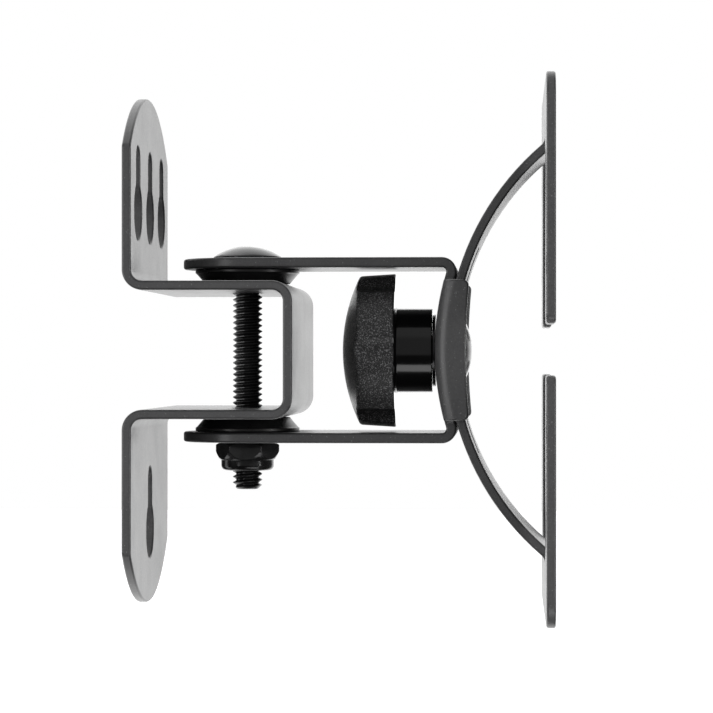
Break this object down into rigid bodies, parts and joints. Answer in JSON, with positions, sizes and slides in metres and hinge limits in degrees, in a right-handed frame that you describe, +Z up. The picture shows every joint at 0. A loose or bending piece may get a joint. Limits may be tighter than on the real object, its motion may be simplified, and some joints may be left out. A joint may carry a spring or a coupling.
{
  "type": "tilt and swivel screen wall bracket",
  "caption": "Small sheet steel wall bracket for a flat screen: an arm swivels on an upright bolt and a curved slotted band tilts the screen plate, clamped by a knob.",
  "frame": {"origin": "on the wall, in the middle of the wall plate and level with the knob", "axes": "+X out from the wall towards the screen, +Y across the bracket, +Z up along the pivot bolt"},
  "size_m": [0.0918, 0.085, 0.116],
  "materials": {
    "powder_coat": "satin black powder coat on sheet steel",
    "black_steel": "glossy black plated steel",
    "black_nylon": "plain black nylon",
    "nut_nylon": "dark nylon",
    "knob_plastic": "fine textured black moulded plastic",
    "brass": "turned brass"
  },
  "bodies": {
    "wall": {"wall_plate": "powder_coat"},
    "arm": {"swivel_arm": "powder_coat", "pivot_bolt": "black_steel", "pivot_washer_upper": "black_nylon", "pivot_washer_lower": "black_nylon", "lock_nut": "black_steel", "lock_nut_ring": "nut_nylon", "clamp_bolt": "black_steel"},
    "screen": {"screen_bracket": "powder_coat"},
    "washer": {"clamp_washer": "black_steel"},
    "knob": {"clamp_knob": "knob_plastic", "knob_insert": "brass"}
  },
  "joints": [
    {"name": "swivel", "type": "hinge", "parent": "wall", "child": "arm", "pos_m": [0.02385, 0, 0], "axis": [0, 0, 1], "range_deg": [-27, 27]},
    {"name": "tilt", "type": "hinge", "parent": "arm", "child": "screen", "pos_m": [0.1268, 0, 0], "axis": [0, 1, 0], "range_deg": [-20, 20]},
    {"name": "washer_slide", "type": "slide", "parent": "arm", "child": "washer", "axis": [-1, 0, 0], "range_m": [0, 0.00191]},
    {"name": "knob_turn", "type": "hinge", "parent": "washer", "child": "knob", "pos_m": [0.06, 0, 0], "axis": [-1, 0, 0], "range_deg": [0, 540]}
  ],
  "couplings": [
    {"joint": "washer_slide", "follows": "knob_turn", "m_per_rad": 0.00020213}
  ]
}
